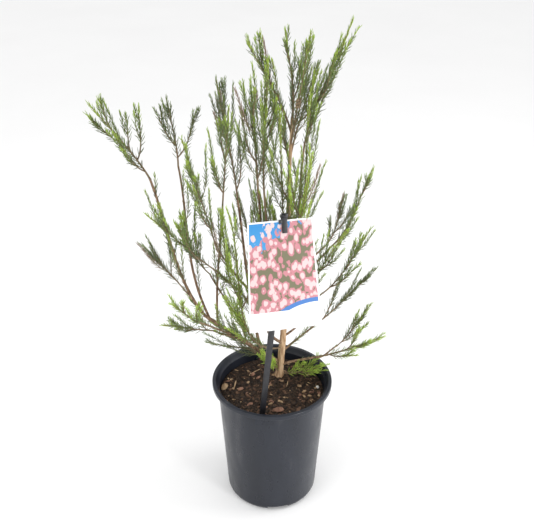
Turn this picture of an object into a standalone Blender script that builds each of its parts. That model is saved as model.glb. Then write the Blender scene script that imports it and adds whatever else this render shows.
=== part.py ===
"""Potted bracelet honey myrtle: a needle-leaved shrub in a nursery pot, with its picture label.

Metres, +Z up. The origin is the middle of the pot's flat underside, and -Y is the label's side.
"""
import math
import random

import bmesh
import bpy
from mathutils import Matrix, Vector, noise

# Driving dimensions of the pot and what fills it
POT_HEIGHT = 0.160
LIP_RADIUS = 0.070
LIP_BAND = 0.0055
LIP_OPENING = 0.0655
WALL_TOP_RADIUS = 0.0635
WALL_FOOT_RADIUS = 0.0543
WALL = 0.0016
FOOT_ROUNDING = 0.0085
POT_SIDES = 36
DRAIN_COUNT = 4
DRAIN_TURN = math.radians(-82)
DRAIN_WIDTH = 0.025
DRAIN_HEIGHT = 0.007
DRAIN_DEPTH = 0.015
DRAIN_HOLE_RADIUS = 0.0035
LOCK_SIZE = (0.020, 0.010, 0.010)
LOCK_PLACE = (-0.0095, -0.0590, 0.1490)
MIX_LEVEL = 0.143
MIX_MOUND = 0.003
MIX_BUMP = 0.0022
GAP = 0.0003

# Driving dimensions of the label and its stem
CARD_TOP_WIDTH = 0.066
CARD_FOOT_WIDTH = 0.076
CARD_HEIGHT = 0.112
CARD_THICKNESS = 0.0006
CARD_CURL = 0.005
CARD_TOP_MIDDLE = (0.0070, -0.0430, 0.3870)
CARD_TURN = math.radians(12)
CARD_LEAN = math.radians(-14.5)
CARD_HOLE = (0.004, -0.0090)
CARD_HOLE_RADIUS = 0.0024
STEM_FOOT = (-0.0140, -0.0530, 0.120)
STEM_HEAD = (0.0117, -0.0388, 0.3925)
STEM_WIDTH = 0.0065
STEM_THICKNESS = 0.0026
HOOK_WIDTH = 0.0055
HOOK_LENGTH = 0.017

# Driving dimensions of the plant
UP = Vector((0, 0, 1))
TRUNK_FOOT = (0.0085, 0.022, MIX_LEVEL + MIX_MOUND + 3 * GAP)
TRUNK_TIP = (0.019, 0.017, 0.4715)
TRUNK_BOW = 0.01
TRUNK_FOOT_RADIUS = 0.0041
TRUNK_TIP_RADIUS = 0.0013
TRUNK_FLARE = 0.0016
FLARE_SHARE = 0.035
LIMB_TAPER = 0.68
RING_SPACING = 0.023
TRUNK_SIDES = 8
BOUGH_SIDES = 5
TWIG_SIDES = 3

# Each bough: name, what it grows from and how far along that, tip, bow, radius at its foot in mm
BOUGHS = [
    ("bough_left_foot", "trunk", 0.060, (-0.075, -0.002, 0.248), 0.01, 2.6),
    ("bough_left_outer", "bough_left_foot", 1.0, (-0.122, -0.022, 0.423), 0.04, 1.7),
    ("bough_left_inner", "bough_left_foot", 0.94, (-0.100, 0.038, 0.411), 0.09, 1.5),
    ("bough_left_stem", "bough_left_foot", 0.84, (-0.050, -0.028, 0.399), -0.04, 1.4),
    ("bough_left_mid", "bough_left_foot", 0.72, (-0.100, 0.032, 0.260), 0.12, 1.3),
    ("bough_left_short", "bough_left_foot", 0.46, (-0.070, 0.022, 0.288), -0.05, 1.2),
    ("bough_left_low", "bough_left_foot", 0.36, (-0.064, -0.036, 0.251), -0.03, 1.3),
    ("bough_left_pale", "bough_left_foot", 0.57, (-0.070, -0.075, 0.286), 0.00, 1.3),
    ("bough_centre", "bough_left_foot", 0.25, (-0.038, 0.042, 0.370), 0.03, 1.8),
    ("bough_left_leafy", "bough_centre", 0.43, (-0.057, -0.030, 0.347), 0.02, 1.4),
    ("bough_left_front", "bough_centre", 0.28, (-0.057, -0.034, 0.323), -0.04, 1.3),
    ("bough_front_left", "trunk", 0.15, (-0.015, -0.014, 0.407), 0.12, 1.8),
    ("bough_front_right", "trunk", 0.23, (-0.007, -0.024, 0.384), 0.17, 1.7),
    ("bough_right_low", "trunk", 0.050, (0.059, 0.012, 0.183), -0.02, 1.7),
    ("bough_right_rim", "bough_right_low", 0.85, (0.077, 0.034, 0.181), 0.12, 1.2),
    ("bough_right_lower", "trunk", 0.11, (0.055, 0.050, 0.204), -0.01, 1.4),
    ("bough_right_mid", "trunk", 0.18, (0.055, 0.035, 0.252), 0.08, 1.4),
    ("bough_right_upper", "trunk", 0.34, (0.064, 0.022, 0.322), -0.03, 1.5),
    ("bough_right_back", "trunk", 0.41, (0.061, 0.060, 0.303), -0.01, 1.4),
    ("bough_right_tall", "trunk", 0.48, (0.031, 0.018, 0.426), 0.05, 1.7),
]

# Each mass of foliage: name, what its stem grows from and how far along that, the stem's tip and bow,
# then its number of side twigs, their spread in degrees and the seed that places them
FOLIAGE = [
    ("foliage_left_outer", "bough_left_outer", 1.0, (-0.169, -0.042, 0.505), -0.02, 5, 32, 840),
    ("foliage_left_inner", "bough_left_inner", 1.0, (-0.111, 0.062, 0.477), -0.07, 3, 32, 575),
    ("foliage_left_stem", "bough_left_stem", 1.0, (-0.041, -0.042, 0.502), 0.00, 3, 32, 377),
    ("foliage_left_mid", "bough_left_mid", 1.0, (-0.154, 0.090, 0.288), -0.02, 3, 32, 826),
    ("foliage_left_short", "bough_left_short", 1.0, (-0.105, 0.038, 0.341), 0.06, 3, 25, 343),
    ("foliage_left_low", "bough_left_low", 1.0, (-0.114, -0.058, 0.273), 0.01, 3, 32, 1037),
    ("foliage_left_pale", "bough_left_pale", 1.0, (-0.098, -0.105, 0.329), 0.03, 2, 32, 11),
    ("foliage_left_rim", "trunk", 0.030, (-0.081, 0.062, 0.168), -0.13, 2, 25, 713),
    ("foliage_left_leafy", "bough_left_leafy", 1.0, (-0.083, -0.068, 0.481), 0.00, 3, 32, 2399),
    ("foliage_left_front", "bough_left_front", 1.0, (-0.117, -0.088, 0.415), 0.01, 3, 18, 265),
    ("foliage_centre", "bough_centre", 1.0, (-0.059, 0.066, 0.497), -0.02, 5, 18, 2254),
    ("foliage_centre_bright", "trunk", 0.13, (-0.045, -0.052, 0.404), 0.15, 3, 18, 176),
    ("foliage_front_left", "bough_front_left", 1.0, (-0.021, -0.032, 0.525), -0.01, 4, 25, 1285),
    ("foliage_front_right", "bough_front_right", 1.0, (-0.005, -0.034, 0.541), -0.10, 3, 32, 1664),
    ("foliage_leader_front", "trunk", 0.29, (0.006, -0.032, 0.494), -0.02, 2, 18, 28),
    ("foliage_top_dark", "trunk", 0.84, (-0.003, 0.062, 0.487), -0.04, 2, 18, 594),
    ("foliage_top_back", "trunk", 0.87, (0.047, 0.072, 0.512), -0.03, 3, 25, 639),
    ("foliage_top_right", "trunk", 0.91, (0.034, -0.016, 0.564), 0.00, 2, 32, 1898),
    ("foliage_top_left", "trunk", 0.95, (-0.024, -0.008, 0.554), -0.03, 3, 18, 644),
    ("foliage_top_tip", "trunk", 1.0, (0.012, 0.034, 0.554), -0.10, 2, 18, 2483),
    ("foliage_right_tall", "bough_right_tall", 1.0, (0.074, 0.008, 0.570), -0.04, 4, 18, 1489),
    ("foliage_right_inner", "trunk", 0.54, (0.036, -0.006, 0.507), 0.07, 2, 32, 916),
    ("foliage_right_front", "trunk", 0.375, (0.037, -0.044, 0.457), 0.02, 3, 25, 250),
    ("foliage_right_card", "trunk", 0.26, (0.073, -0.048, 0.378), 0.01, 2, 18, 23),
    ("foliage_right_upper", "bough_right_upper", 1.0, (0.106, 0.030, 0.412), 0.06, 2, 32, 944),
    ("foliage_right_back", "bough_right_back", 1.0, (0.084, 0.092, 0.353), 0.13, 3, 32, 1511),
    ("foliage_right_mid", "bough_right_mid", 1.0, (0.113, 0.062, 0.325), 0.07, 3, 32, 2373),
    ("foliage_right_lower", "bough_right_lower", 1.0, (0.125, 0.100, 0.250), 0.03, 3, 25, 180),
    ("foliage_right_rim", "bough_right_rim", 1.0, (0.118, 0.056, 0.226), 0.05, 3, 32, 430),
    ("foliage_right_low", "bough_right_low", 1.0, (0.128, 0.006, 0.214), 0.02, 3, 32, 1363),
    ("foliage_back_left", "trunk", 0.20, (-0.019, 0.104, 0.379), 0.15, 3, 18, 1),
    ("foliage_back_right", "trunk", 0.44, (0.021, 0.112, 0.350), 0.00, 3, 32, 3),
    ("foliage_foot_right", "trunk", 0.012, (0.066, 0.016, 0.167), 0.06, 4, 32, 1),
    ("foliage_foot_left", "trunk", 0.020, (-0.009, -0.003, 0.196), 0.03, 3, 32, 1),
]

# How twigs and needles stand on a mass's stem
TWIG_FROM = 0.06
TWIG_TO = 0.72
TWIG_REACH = (0.55, 0.95)
TWIG_LEAN = (0.6, 1.2)
TWIG_LIFT = 0.35
TWIG_BOW = 0.06
STEM_RADIUS = 0.0011
CORE_RADIUS = 0.0019
TIP_RADIUS = 0.0004
CORE_SHARE = 0.3
NEEDLE_LENGTH = 0.012
NEEDLE_RADIUS = 0.0008
NEEDLE_SPACING = 0.028
NEEDLE_LEAN = math.radians(30)
GOLDEN_TURN = math.radians(137.5)
CLEARANCE = 0.0010


class Limb:
    """A trunk, bough, stem or twig: a centre line that bows near its foot, and a radius along it."""

    def __init__(self, start, tip, bow, foot_radius, tip_radius, core_radius=None):
        self.start = Vector(start)
        self.tip = Vector(tip)
        self.bow = bow
        self.foot_radius = foot_radius
        self.tip_radius = tip_radius
        self.core_radius = core_radius
        self.length = (self.tip - self.start).length

    def point(self, share):
        """Straight from start to tip, pushed down and outward most at a third of the way."""
        chord = self.tip - self.start
        outward = (chord * chord.z - UP * chord.length_squared).normalized()
        push = 6.75 * share * (1 - share) ** 2
        return self.start + chord * share + outward * (self.bow * self.length * push)

    def heading(self, share):
        """The way the limb runs at this share of its length."""
        step = 0.01
        return (self.point(min(share + step, 1)) - self.point(max(share - step, 0))).normalized()

    def radius(self, share):
        """A plain taper, or on leafy wood a core that swells and then runs out to the tip."""
        if self.core_radius is None:
            return self.foot_radius + (self.tip_radius - self.foot_radius) * share
        if share < CORE_SHARE:
            return self.foot_radius + (self.core_radius - self.foot_radius) * share / CORE_SHARE
        return self.core_radius + (self.tip_radius - self.core_radius) * (share - CORE_SHARE) / (1 - CORE_SHARE)

    def shares(self):
        """Where the limb's rings stand."""
        count = max(3, round(self.length / RING_SPACING))
        return [step / count for step in range(count + 1)]


def new_collection(name):
    collection = bpy.data.collections.new(name)
    bpy.context.scene.collection.children.link(collection)
    return collection


def new_material(name, colour, roughness, metallic=0.0):
    material = bpy.data.materials.new(name)
    material.use_nodes = True
    shader = material.node_tree.nodes["Principled BSDF"]
    shader.inputs["Base Color"].default_value = (*colour, 1)
    shader.inputs["Roughness"].default_value = roughness
    shader.inputs["Metallic"].default_value = metallic
    return material


def add_object(name, data, collection, material=None):
    thing = bpy.data.objects.new(name, data)
    collection.objects.link(thing)
    if material:
        data.materials.append(material)
    if collection is helpers:
        thing.hide_render = True
        thing.display_type = "WIRE"
    return thing


def add_mesh(name, build, collection, material=None):
    """A mesh object whose shape the function build makes with bmesh."""
    mesh = bpy.data.meshes.new(name)
    shape = bmesh.new()
    build(shape)
    shape.to_mesh(mesh)
    shape.free()
    return add_object(name, mesh, collection, material)


def apply_modifiers(thing):
    """Replace the object's data with what its modifiers make of it."""
    depsgraph = bpy.context.evaluated_depsgraph_get()
    mesh = bpy.data.meshes.new_from_object(thing.evaluated_get(depsgraph))
    thing.modifiers.clear()
    thing.data = mesh


def boolean(thing, operation, operand):
    """Join or cut with one object, or with every object in a collection, and apply it."""
    modifier = thing.modifiers.new(operation.title(), "BOOLEAN")
    modifier.operation = operation
    modifier.solver = "EXACT"
    if isinstance(operand, bpy.types.Collection):
        modifier.operand_type = "COLLECTION"
        modifier.collection = operand
    else:
        modifier.object = operand
    apply_modifiers(thing)


def remove(things):
    for thing in list(things):
        bpy.data.objects.remove(thing)


def box(name, size, middle, collection, material=None):
    def build(shape):
        bmesh.ops.create_cube(shape, size=1, matrix=Matrix.Diagonal((*size, 1)))
        bmesh.ops.translate(shape, verts=shape.verts, vec=middle)
    return add_mesh(name, build, collection, material)


def cylinder(name, radius, height, matrix, collection, sides=16):
    def build(shape):
        bmesh.ops.create_cone(
            shape, cap_ends=True, segments=sides, radius1=radius, radius2=radius, depth=height, matrix=matrix)
    return add_mesh(name, build, collection)


def turned(name, profile, collection, material=None):
    """A solid of revolution from (radius, height) points that run down its outer side."""
    mesh = bpy.data.meshes.new(name)
    mesh.from_pydata([(radius, 0, height) for radius, height in profile],
                     [(step, step + 1) for step in range(len(profile) - 1)], [])
    thing = add_object(name, mesh, collection, material)
    screw = thing.modifiers.new("Turn", "SCREW")
    screw.steps = POT_SIDES
    screw.render_steps = POT_SIDES
    screw.use_merge_vertices = True
    screw.merge_threshold = 0.00001
    apply_modifiers(thing)
    return thing


def wall_radius(height):
    """The pot wall's outer radius at this height, on its straight taper."""
    taper = (WALL_TOP_RADIUS - WALL_FOOT_RADIUS) / (POT_HEIGHT - LIP_BAND - FOOT_ROUNDING)
    return WALL_FOOT_RADIUS + taper * (height - FOOT_ROUNDING)


def rounded_foot(inset):
    """Points down the wall's foot and its rounding, moved inward by inset."""
    radius = FOOT_ROUNDING - inset
    middle = WALL_FOOT_RADIUS - FOOT_ROUNDING
    turns = [math.radians(angle) for angle in (0, 22.5, 45, 67.5, 90)]
    return [(middle + radius * math.cos(turn), FOOT_ROUNDING - radius * math.sin(turn)) for turn in turns]


def drain_box(step, grow, name, collection):
    """The room of one drain pocket at the pot's foot, grown on every side."""
    size = (DRAIN_DEPTH + 2 * grow, DRAIN_WIDTH + 2 * grow, 2 * (DRAIN_HEIGHT + grow))
    middle = (WALL_FOOT_RADIUS - 0.013 + DRAIN_DEPTH / 2, 0, 0)
    room = box(name, size, middle, collection)
    room.rotation_euler.z = DRAIN_TURN + step * math.tau / DRAIN_COUNT
    return room


def make_pot(material):
    lip_foot = POT_HEIGHT - LIP_BAND
    outside = [(0, POT_HEIGHT), (LIP_RADIUS - 0.0008, POT_HEIGHT), (LIP_RADIUS, POT_HEIGHT - 0.0010),
               (LIP_RADIUS, lip_foot + 0.0008), (LIP_RADIUS - 0.0008, lip_foot),
               (wall_radius(lip_foot), lip_foot), *rounded_foot(0), (0, 0)]
    inside = [(0, POT_HEIGHT + 0.01), (LIP_OPENING, POT_HEIGHT + 0.01), (LIP_OPENING, POT_HEIGHT),
              (LIP_OPENING - 0.0008, POT_HEIGHT - 0.0030), (wall_radius(lip_foot) - WALL, lip_foot - 0.0010),
              *rounded_foot(WALL), (0, WALL)]
    pot = turned("pot", outside, parts, material)
    lock = box("lock", LOCK_SIZE, LOCK_PLACE, helpers)
    boolean(pot, "UNION", lock)
    cavity = turned("cavity", inside, helpers)
    housings = [drain_box(step, WALL, "housing", helpers) for step in range(DRAIN_COUNT)]
    pockets = [drain_box(step, 0, "pocket", helpers) for step in range(DRAIN_COUNT)]
    holes = []
    for step in range(DRAIN_COUNT):
        spot = Matrix.Rotation(DRAIN_TURN + step * math.tau / DRAIN_COUNT, 4, "Z")
        place = spot @ Matrix.Translation((WALL_FOOT_RADIUS - 0.0075, 0, DRAIN_HEIGHT))
        holes.append(cylinder("drain_hole", DRAIN_HOLE_RADIUS, 0.006, place, helpers, 12))
    bpy.context.view_layer.update()
    for housing in housings:
        boolean(cavity, "DIFFERENCE", housing)
    for cutter in [cavity, *pockets, *holes]:
        boolean(pot, "DIFFERENCE", cutter)
    remove([lock, cavity, *housings, *pockets, *holes])
    pot.data.shade_smooth()
    pot.data.set_sharp_from_angle(angle=math.radians(30))


def make_potting_mix(material):
    """The moist mix that fills the pot: a mound at the trunk, lumps, and room for what stands in it."""
    rings = [(radius, MIX_LEVEL) for radius in (0, 0.012, 0.022, 0.032, 0.042, 0.051)]
    profile = [*rings, (wall_radius(MIX_LEVEL) - WALL - GAP, MIX_LEVEL)]
    profile += [*rounded_foot(WALL + GAP), (0, WALL + GAP)]
    mix = turned("potting_mix", profile, parts, material)
    trunk_spot = Vector(TRUNK_FOOT[:2])
    for vertex in mix.data.vertices:
        if vertex.co.z < MIX_LEVEL - 0.001:
            continue
        away = (vertex.co.xy - trunk_spot).length
        mound = MIX_MOUND * min(1, max(0, (0.046 - away) / 0.030))
        lumps = -MIX_BUMP * abs(noise.noise(vertex.co * 70)) * min(1, max(0, (away - 0.010) / 0.010))
        edge = min(1, (wall_radius(MIX_LEVEL) - vertex.co.xy.length) / 0.010)
        vertex.co.z += mound + lumps * edge
    rooms = [drain_box(step, WALL + GAP, "room", helpers) for step in range(DRAIN_COUNT)]
    rooms.append(label_stem_bar("stem_room", GAP, helpers))
    bpy.context.view_layer.update()
    for room in rooms:
        boolean(mix, "DIFFERENCE", room)
    remove(rooms)


def label_stem_matrix():
    """The label stem's own frame: foot at the origin, Z along it, Y to its back."""
    foot = Vector(STEM_FOOT)
    along = (Vector(STEM_HEAD) - foot).normalized()
    across = Vector((math.cos(CARD_TURN), math.sin(CARD_TURN), 0))
    back = along.cross(across).normalized()
    across = back.cross(along)
    return Matrix.Translation(foot) @ Matrix((across, back, along)).transposed().to_4x4()


def label_stem_bar(name, grow, collection, material=None):
    """The straight bar of the label stem, grown on every side."""
    length = (Vector(STEM_HEAD) - Vector(STEM_FOOT)).length
    size = (STEM_WIDTH + 2 * grow, STEM_THICKNESS + 2 * grow, length + 2 * grow)
    bar = box(name, size, (0, 0, length / 2), collection, material)
    bar.data.transform(label_stem_matrix())
    return bar


def card_matrix():
    """The card's own frame: X across, Z up, origin at the middle of its top edge."""
    turn = Matrix.Rotation(CARD_TURN, 4, "Z") @ Matrix.Rotation(CARD_LEAN, 4, "X")
    return Matrix.Translation(CARD_TOP_MIDDLE) @ turn


def card_curl(height):
    """How far the card comes forward towards its foot."""
    return -CARD_CURL * (height / CARD_HEIGHT) ** 2


def make_label_card(material):
    """A printed plastic card, wider at its foot, that curls a little and hangs by a punched hole."""
    columns = 4
    rows = 8

    def build(shape):
        bmesh.ops.create_grid(shape, x_segments=columns, y_segments=rows, size=0.5)
        for vertex in shape.verts:
            height = (vertex.co.y - 0.5) * CARD_HEIGHT
            width = CARD_TOP_WIDTH + (CARD_FOOT_WIDTH - CARD_TOP_WIDTH) * (0.5 - vertex.co.y)
            vertex.co = (vertex.co.x * width, card_curl(height), height)
    card = add_mesh("label_card", build, parts, material)
    card.matrix_world = card_matrix()
    shell = card.modifiers.new("Thickness", "SOLIDIFY")
    shell.thickness = CARD_THICKNESS
    shell.offset = 0
    apply_modifiers(card)
    place = Matrix.Translation((CARD_HOLE[0], 0, CARD_HOLE[1])) @ Matrix.Rotation(math.pi / 2, 4, "X")
    hole = cylinder("card_hole", CARD_HOLE_RADIUS, 0.01, card_matrix() @ place, helpers)
    bpy.context.view_layer.update()
    boolean(card, "DIFFERENCE", hole)
    remove([hole])


def make_label_stem(material):
    """A flat moulded bar pushed into the mix; its hook reaches over the card and pegs through the hole."""
    stem = label_stem_bar("label_stem", 0, parts, material)
    middle = CARD_HOLE[0]
    front = -0.0016
    tongue = box("tongue", (HOOK_WIDTH, 0.0016, HOOK_LENGTH), (middle, front, 0.004 - HOOK_LENGTH / 2), helpers)
    bridge = box("bridge", (HOOK_WIDTH, 0.0080, 0.0030), (middle, 0.0016, 0.0035), helpers)
    nub = box("nub", (0.0035, 0.0016, 0.0040), (middle - 0.0040, front, -0.0010), helpers)
    place = Matrix.Translation((middle, 0.0010, CARD_HOLE[1])) @ Matrix.Rotation(math.pi / 2, 4, "X")
    peg = cylinder("peg", CARD_HOLE_RADIUS - 0.0008, 0.0062, place, helpers, 12)
    pieces = [tongue, bridge, nub, peg]
    for piece in pieces:
        piece.data.transform(card_matrix())
    bpy.context.view_layer.update()
    for piece in pieces:
        boolean(stem, "UNION", piece)
    remove(pieces)


def section(sides):
    """A closed outline of radius 1 that a limb's curve carries along it."""
    curve = bpy.data.curves.new("section", "CURVE")
    spline = curve.splines.new("POLY")
    spline.points.add(sides - 1)
    for step, point in enumerate(spline.points):
        turn = math.tau * step / sides
        point.co = (math.cos(turn), math.sin(turn), 0, 1)
    spline.use_cyclic_u = True
    return add_object(f"section_{sides}", curve, helpers)


def tube(name, rings, outline, collection, material=None):
    """A closed mesh round (point, radius) rings, from a curve with filled caps."""
    curve = bpy.data.curves.new(name, "CURVE")
    curve.dimensions = "3D"
    curve.bevel_mode = "OBJECT"
    curve.bevel_object = outline
    curve.use_fill_caps = True
    spline = curve.splines.new("POLY")
    spline.points.add(len(rings) - 1)
    for point, (place, radius) in zip(spline.points, rings):
        point.co = (*place, 1)
        point.radius = radius
    guide = add_object(name + "_curve", curve, helpers)
    depsgraph = bpy.context.evaluated_depsgraph_get()
    mesh = bpy.data.meshes.new_from_object(guide.evaluated_get(depsgraph))
    bpy.data.objects.remove(guide)
    shape = bmesh.new()
    shape.from_mesh(mesh)
    bmesh.ops.remove_doubles(shape, verts=shape.verts, dist=0.00001)
    bmesh.ops.recalc_face_normals(shape, faces=shape.faces)
    shape.to_mesh(mesh)
    shape.free()
    mesh.materials.clear()
    return add_object(name, mesh, collection, material)


def limb_rings(limb):
    return [(limb.point(share), limb.radius(share)) for share in limb.shares()]


def trunk_rings():
    """The trunk's rings, wider at the root flare."""
    trunk = limbs["trunk"]
    rings = []
    for share in [0, FLARE_SHARE / 2, FLARE_SHARE, *trunk.shares()[1:]]:
        flare = TRUNK_FLARE * max(0, 1 - share / FLARE_SHARE) ** 2
        rings.append((trunk.point(share), trunk.radius(share) + flare))
    return rings


def sleeve(limb, rings, sides):
    """The limb's room: its own shape grown by the gap, and reaching that much past its tip."""
    grow = GAP / math.cos(math.pi / sides)
    rings = [(place, radius + grow) for place, radius in rings]
    rings.append((limb.tip + limb.heading(1) * GAP, rings[-1][1]))
    return tube("sleeve", rings, sections[sides], helpers)


def drop_scraps(thing):
    """Keep the largest body of a cut or joined mesh, counting as one what shares edges."""
    shape = bmesh.new()
    shape.from_mesh(thing.data)
    bmesh.ops.dissolve_degenerate(shape, edges=shape.edges, dist=0.000002)
    bmesh.ops.triangulate(shape, faces=shape.faces)
    left = set(shape.faces)
    bodies = []
    while left:
        body = [left.pop()]
        for face in body:
            for edge in face.edges:
                for other in edge.link_faces:
                    if other in left:
                        left.remove(other)
                        body.append(other)
        bodies.append(body)
    bodies.sort(key=len)
    scraps = [face for body in bodies[:-1] for face in body]
    bmesh.ops.delete(shape, geom=scraps, context="FACES")
    shape.to_mesh(thing.data)
    shape.free()


def make_bough(name, parent_name, material):
    bough = tube(name, limb_rings(limbs[name]), sections[BOUGH_SIDES], parts, material)
    boolean(bough, "DIFFERENCE", sleeves[parent_name])
    drop_scraps(bough)
    return bough


def twigs_of(stem, count, spread, seed):
    """Side twigs by the seeded rule: each leaves the stem at an acute angle and turns upward."""
    dice = random.Random(seed)
    twigs = []
    for step in range(count):
        share = TWIG_FROM + (TWIG_TO - TWIG_FROM) * (step + dice.random()) / count
        turn = dice.uniform(0, math.tau)
        lean = math.radians(spread) * dice.uniform(*TWIG_LEAN)
        reach = dice.uniform(*TWIG_REACH) * (1 - share) * stem.length
        along = stem.heading(share)
        across = along.cross(UP).normalized()
        other = along.cross(across)
        aside = across * math.cos(turn) + other * math.sin(turn)
        way = along * math.cos(lean) + aside * math.sin(lean) + UP * TWIG_LIFT
        start = stem.point(share)
        foot_radius = min(STEM_RADIUS, stem.radius(share) * 0.8)
        twigs.append(Limb(start, start + way.normalized() * reach, TWIG_BOW, foot_radius, TIP_RADIUS,
                          CORE_RADIUS * 0.85))
    return twigs


def needles_of(limb, first_share, turn):
    """Where needles stand on a leafy limb: root point and the way each one points."""
    count = max(2, round(limb.length * (1 - first_share) / NEEDLE_SPACING))
    needles = []
    for step in range(count):
        share = first_share + (0.97 - first_share) * (step + 0.5) / count
        turn += GOLDEN_TURN
        along = limb.heading(share)
        across = along.cross(UP).normalized()
        other = along.cross(across)
        aside = across * math.cos(turn) + other * math.sin(turn)
        way = along * math.cos(NEEDLE_LEAN) + aside * math.sin(NEEDLE_LEAN)
        needles.append((limb.point(share), way.normalized()))
    return needles


def hits_pot(point, margin):
    """Whether a point comes too near the pot's lip or the mix in it."""
    away = point.xy.length
    if away > LIP_RADIUS + margin:
        return False
    if point.z < MIX_LEVEL + MIX_MOUND + margin:
        return True
    return point.z < POT_HEIGHT + margin and away > wall_radius(MIX_LEVEL) - WALL - margin


def touches(points, owner):
    """Whether any (point, radius) comes too near the pot or something that another node holds."""
    for point, radius in points:
        if hits_pot(point, radius + CLEARANCE):
            return True
        for other, other_point, other_radius in taken:
            room = radius + other_radius + CLEARANCE
            if other != owner and (other_point - point).length_squared < room * room:
                return True
    return False


def claim(owner, limb, step=0.003):
    """Note the space that a limb fills, as points with radii along it."""
    count = max(2, math.ceil(limb.length / step))
    for index in range(count + 1):
        share = index / count
        taken.append((owner, limb.point(share), limb.radius(share)))


def claim_card():
    """Note the space that the label's card and stem fill."""
    place = card_matrix()
    for row in range(29):
        height = -row * 0.004
        for column in range(-9, 10):
            taken.append(("label_card", place @ Vector((column * 0.0042, card_curl(height), height)), 0.0022))
    foot = Vector(STEM_FOOT)
    for step in range(60):
        taken.append(("label_stem", foot.lerp(Vector(STEM_HEAD), step / 59), STEM_WIDTH / 2))


def needle(root, way, collection):
    """One needle: a slim three-sided cone, its root sunk in the core."""
    turn = way.to_track_quat("Z", "Y").to_matrix().to_4x4()
    place = Matrix.Translation(root + way * (NEEDLE_LENGTH / 2)) @ turn

    def build(shape):
        bmesh.ops.create_cone(shape, cap_ends=True, segments=3, radius1=NEEDLE_RADIUS, radius2=0.00012,
                              depth=NEEDLE_LENGTH, matrix=place)
    return add_mesh("needle", build, collection)


def make_foliage(name, parent_name, twigs, needles, material):
    """One mass: its stem, with the twigs and needles fused on, cut clear of what carries it."""
    mass = tube(name, limb_rings(limbs[name]), sections[TWIG_SIDES], parts, material)
    pieces = new_collection("pieces")
    for step, twig in enumerate(twigs):
        tube(f"twig_{step}", limb_rings(twig), sections[TWIG_SIDES], pieces)
    for root, way in needles:
        needle(root, way, pieces)
    boolean(mass, "UNION", pieces)
    remove(pieces.objects)
    bpy.data.collections.remove(pieces)
    boolean(mass, "DIFFERENCE", sleeves[parent_name])
    drop_scraps(mass)
    return mass


def grow_foliage(materials):
    """Place every stem first, then twigs, then needles, so that each mass keeps to its own space."""
    twigs = {}
    for name, parent_name, share, tip, bow, count, spread, seed in FOLIAGE:
        twigs[name] = []
        for twig in twigs_of(limbs[name], count, spread, seed):
            free = [(twig.point(step / 12), twig.radius(step / 12)) for step in range(3, 13)]
            if touches(free, name):
                print("skipped a twig of", name)
                continue
            claim(name, twig)
            twigs[name].append(twig)
    for name, parent_name, *rest in FOLIAGE:
        spots = needles_of(limbs[name], 0.15, 0)
        for step, twig in enumerate(twigs[name]):
            spots += needles_of(twig, 0.25, step + 1)
        kept = []
        for root, way in spots:
            ends = [(root + way * NEEDLE_LENGTH * share, NEEDLE_RADIUS) for share in (0.4, 0.7, 1)]
            if touches(ends, name):
                continue
            kept.append((root, way))
            taken.extend((name, point, radius) for point, radius in ends)
        make_foliage(name, parent_name, twigs[name], kept, materials)


remove(bpy.data.objects)
parts = new_collection("potted_bracelet_honey_myrtle")
helpers = new_collection("helpers")

pot_plastic = new_material("pot_plastic", (0.045, 0.050, 0.060), 0.45)
mix_brown = new_material("mix_brown", (0.045, 0.028, 0.020), 0.95)
card_print = new_material("card_print", (0.80, 0.80, 0.82), 0.35)
stem_plastic = new_material("stem_plastic", (0.015, 0.015, 0.020), 0.45)
bark = new_material("bark", (0.45, 0.30, 0.18), 0.9)
bough_bark = new_material("bough_bark", (0.22, 0.16, 0.11), 0.9)
leaf_green = new_material("leaf_green", (0.10, 0.16, 0.05), 0.7)

make_pot(pot_plastic)
make_potting_mix(mix_brown)
make_label_card(card_print)
make_label_stem(stem_plastic)

sections = {sides: section(sides) for sides in (TRUNK_SIDES, BOUGH_SIDES, TWIG_SIDES)}
limbs = {"trunk": Limb(TRUNK_FOOT, TRUNK_TIP, TRUNK_BOW, TRUNK_FOOT_RADIUS, TRUNK_TIP_RADIUS)}
for name, parent_name, share, tip, bow, radius in BOUGHS:
    start = limbs[parent_name].point(share)
    limbs[name] = Limb(start, tip, bow, radius * 0.001, radius * 0.001 * LIMB_TAPER)
for name, parent_name, share, tip, bow, *rest in FOLIAGE:
    parent = limbs[parent_name]
    foot_radius = min(STEM_RADIUS, parent.radius(share) * 0.95)
    limbs[name] = Limb(parent.point(share), tip, bow, foot_radius, TIP_RADIUS, CORE_RADIUS)

taken = []
claim_card()
for name, limb in limbs.items():
    claim(name, limb)

sleeves = {"trunk": sleeve(limbs["trunk"], trunk_rings(), TRUNK_SIDES)}
for name, *rest in BOUGHS:
    sleeves[name] = sleeve(limbs[name], limb_rings(limbs[name]), BOUGH_SIDES)

tube("trunk", trunk_rings(), sections[TRUNK_SIDES], parts, bark)
for name, parent_name, *rest in BOUGHS:
    make_bough(name, parent_name, bough_bark)
grow_foliage(leaf_green)
remove(helpers.objects)
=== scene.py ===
"""Potted bracelet honey myrtle, dressed: plastic pot, potting mix, printed card, bark and needles."""
import math
import random

import bmesh
import bpy
from mathutils import Matrix, Vector, noise


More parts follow.
